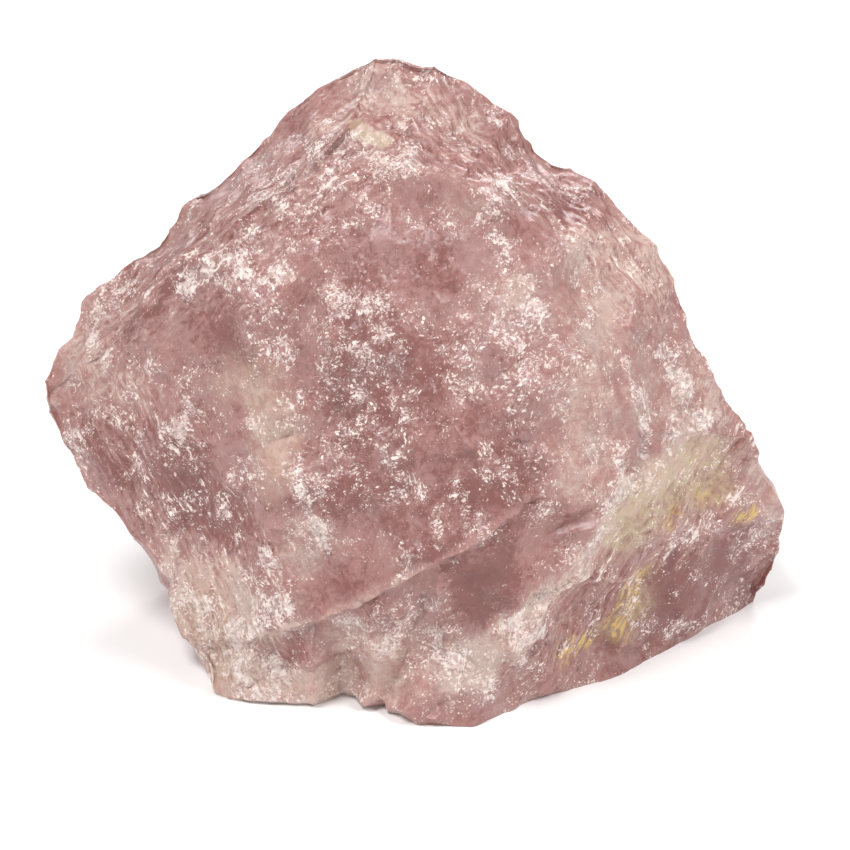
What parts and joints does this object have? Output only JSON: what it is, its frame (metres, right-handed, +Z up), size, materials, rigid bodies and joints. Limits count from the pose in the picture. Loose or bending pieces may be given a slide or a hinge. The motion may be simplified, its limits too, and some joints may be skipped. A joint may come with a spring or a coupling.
{
  "type": "rose quartz chunk",
  "caption": "Rough chunk of pale rose quartz, broken on every side, that rests on a flat broken base with one peak upwards; a display stone, bookend or paperweight.",
  "frame": {"origin": "on the surface that the stone rests on, under the middle of its box", "axes": "+Z up; +X along the stone's longest side, to the right as seen from its large front face; -Y towards the front"},
  "size_m": [0.1532, 0.0954, 0.1214],
  "materials": {
    "rose_quartz": "broken, cloudy and translucent, with small bright facets"
  },
  "bodies": {
    "root": {"rose_quartz_chunk": "rose_quartz"}
  },
  "joints": []
}
